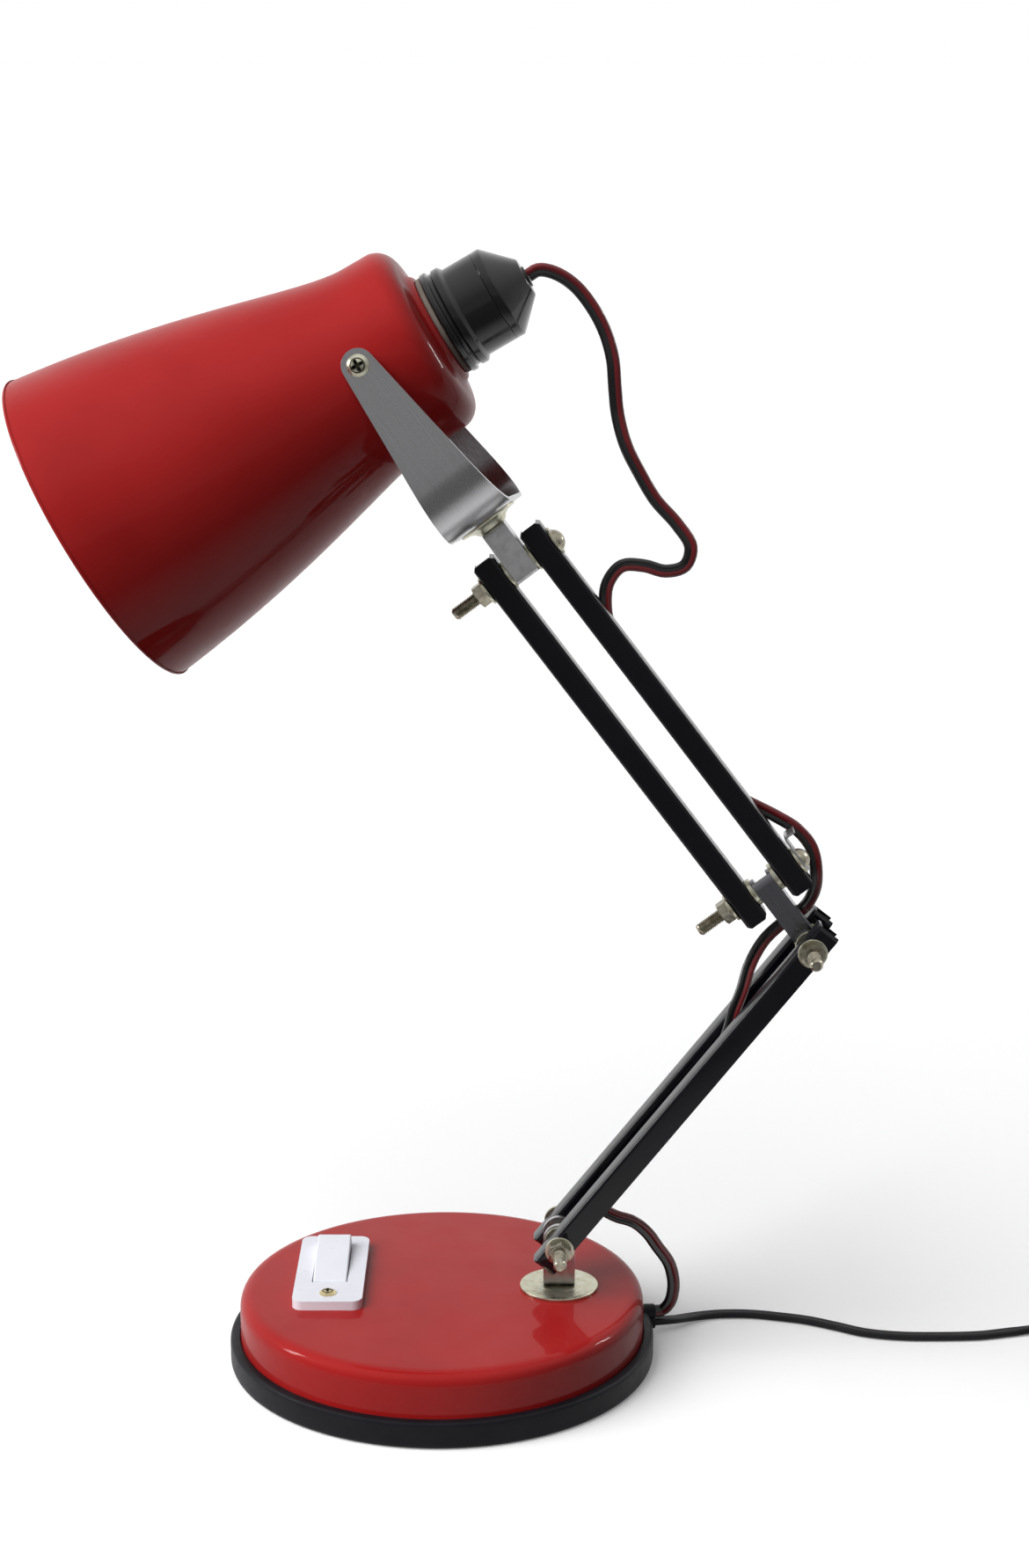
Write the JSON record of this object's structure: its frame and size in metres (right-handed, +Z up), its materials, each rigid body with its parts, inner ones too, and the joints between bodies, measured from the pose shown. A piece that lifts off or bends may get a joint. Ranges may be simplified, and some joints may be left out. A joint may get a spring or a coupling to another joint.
{
  "type": "desk lamp",
  "caption": "Adjustable desk lamp with a weighted round base, twin-bar arms, a swivelling yoke and a flared red metal shade",
  "frame": {"origin": "centre of the rubber foot's underside, on the table", "axes": "+Z up; +X from the switch towards the swivel post; +Y away from the viewer. The arms lie in the XZ plane at rest"},
  "size_m": [0.4745, 0.1933, 0.4204],
  "materials": {
    "red_cover": "gloss red enamel on steel",
    "red_shade": "gloss red enamel on spun aluminium",
    "rubber": "matt charcoal",
    "weight_iron": "rough cast",
    "plate_steel": "plain sheet",
    "switch_white": "satin white",
    "brass": "plain",
    "zinc_steel": "zinc plated, light grey",
    "block_alloy": "satin grey",
    "yellow_zinc": "yellow passivated",
    "black_bar": "gloss black enamel",
    "yoke_steel": "brushed stainless",
    "gasket": "grey fibre",
    "black_plastic": "moulded phenolic",
    "ceramic": "ivory",
    "bulb_glass": "frosted",
    "flex_cover": "one red and one black core, flexible",
    "lead_cover": "matt black, flexible"
  },
  "bodies": {
    "base": {"rubber_foot": "rubber", "base_cover": "red_cover", "base_weight": "weight_iron", "bottom_plate": "plate_steel", "plate_screws": "plate_steel", "switch_plate": "switch_white", "switch_screw": "brass", "cable_boot": "rubber", "mains_lead": "lead_cover", "mains_coil": "lead_cover", "plug_body": "lead_cover", "plug_pins": "brass", "flex_base": "flex_cover"},
    "rocker": {"switch_rocker": "switch_white"},
    "swivel": {"swivel_disc": "yellow_zinc", "post_bracket": "zinc_steel", "swivel_stud": "yellow_zinc", "swivel_washer": "zinc_steel", "swivel_nut": "yellow_zinc", "flex_post": "flex_cover"},
    "lower_arm": {"lower_bar_front": "black_bar", "lower_bar_rear": "black_bar", "lower_bolts": "yellow_zinc", "lower_washers": "yellow_zinc", "lower_nuts": "yellow_zinc", "flex_elbow": "flex_cover", "flex_lower": "flex_cover"},
    "elbow": {"elbow_bracket": "zinc_steel", "flex_swing": "flex_cover"},
    "upper_arm": {"upper_bar_left": "black_bar", "upper_bar_right": "black_bar", "upper_bolts": "yellow_zinc", "upper_washers": "yellow_zinc", "upper_nuts": "yellow_zinc", "flex_tab": "zinc_steel", "flex_head": "flex_cover", "flex_upper": "flex_cover"},
    "head": {"head_block": "block_alloy", "dished_washer": "yellow_zinc", "yoke_rivet": "yellow_zinc", "flex_yoke": "flex_cover"},
    "yoke": {"yoke": "yoke_steel", "flex_shade": "flex_cover"},
    "shade": {"shade": "red_shade", "shade_back": "red_shade", "shade_screws": "yellow_zinc", "shade_washers": "zinc_steel", "shade_nuts": "yellow_zinc", "gasket_ring": "gasket", "holder_body": "black_plastic", "holder_cap": "black_plastic", "shade_ring": "black_plastic", "holder_core": "ceramic", "threaded_shell": "brass", "bulb_glass": "bulb_glass", "bulb_cap": "brass"}
  },
  "joints": [
    {"name": "base_swivel", "type": "hinge", "parent": "base", "child": "swivel", "pos_m": [0.045, 0, 0.0275], "axis": [0, 0, 1], "range_deg": [-75, 75], "deforming": ["flex_base"]},
    {"name": "lower_tilt", "type": "hinge", "parent": "swivel", "child": "lower_arm", "pos_m": [0.045, 0, 0.0488], "axis": [0, -1, 0], "range_deg": [-30, 45], "deforming": ["flex_post"]},
    {"name": "elbow_bend", "type": "hinge", "parent": "lower_arm", "child": "elbow", "pos_m": [0.13776, 0, 0.16668], "axis": [0, 1, 0], "range_deg": [-40, 70], "deforming": ["flex_elbow"]},
    {"name": "upper_swing", "type": "hinge", "parent": "elbow", "child": "upper_arm", "pos_m": [0.12087, 0, 0.18901], "axis": [-0.7976, 0, -0.6032], "range_deg": [-30, 30], "deforming": ["flex_swing"]},
    {"name": "head_pivot", "type": "hinge", "parent": "upper_arm", "child": "head", "pos_m": [0.03039, 0, 0.30865], "axis": [-0.7976, 0, -0.6032], "range_deg": [-40, 40], "deforming": ["flex_head"]},
    {"name": "yoke_swivel", "type": "hinge", "parent": "head", "child": "yoke", "pos_m": [0.01812, 0.00297, 0.32487], "axis": [-0.5969, 0.1444, 0.7892], "range_deg": [-75, 75], "deforming": ["flex_yoke"]},
    {"name": "shade_tilt", "type": "hinge", "parent": "yoke", "child": "shade", "pos_m": [-0.02276, 0.01286, 0.37893], "axis": [-0.0871, -0.9895, 0.1151], "range_deg": [-50, 36], "deforming": ["flex_shade"]},
    {"name": "switch_rock", "type": "hinge", "parent": "base", "child": "rocker", "pos_m": [-0.043, 0.0144, 0.026], "axis": [-1, 0, 0], "range_deg": [0, 16]}
  ]
}
